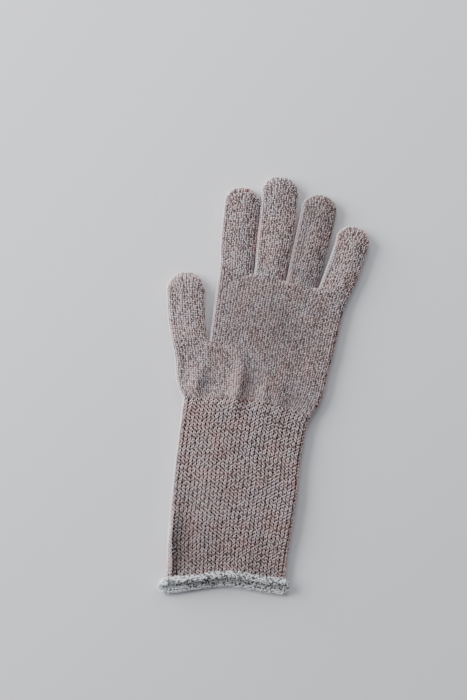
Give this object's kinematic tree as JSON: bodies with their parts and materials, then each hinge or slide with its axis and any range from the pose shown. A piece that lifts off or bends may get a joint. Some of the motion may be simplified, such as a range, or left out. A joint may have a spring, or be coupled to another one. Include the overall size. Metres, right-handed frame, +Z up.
{
  "type": "wool glove",
  "caption": "Long knitted wool glove lying flat, with four fingers and a thumb, a long open-mesh cuff and a hem that curls outwards.",
  "frame": {"origin": "centre of the glove's footprint, on the surface it lies on", "axes": "+X across the hand away from the thumb, +Y from the cuff towards the fingertips, +Z up out of the back of the hand"},
  "size_m": [0.1412, 0.312, 0.0162],
  "materials": {
    "hand_jersey": "matt taupe wool jersey with lighter and darker fibres",
    "cuff_mesh": "matt taupe wool in an open mesh knit",
    "hem_marl": "matt white and charcoal marled wool"
  },
  "bodies": {
    "root": {"palm": "hand_jersey", "thumb": "hand_jersey", "index_finger": "hand_jersey", "middle_finger": "hand_jersey", "ring_finger": "hand_jersey", "little_finger": "hand_jersey", "cuff": "cuff_mesh", "rolled_hem": "hem_marl"}
  },
  "joints": []
}
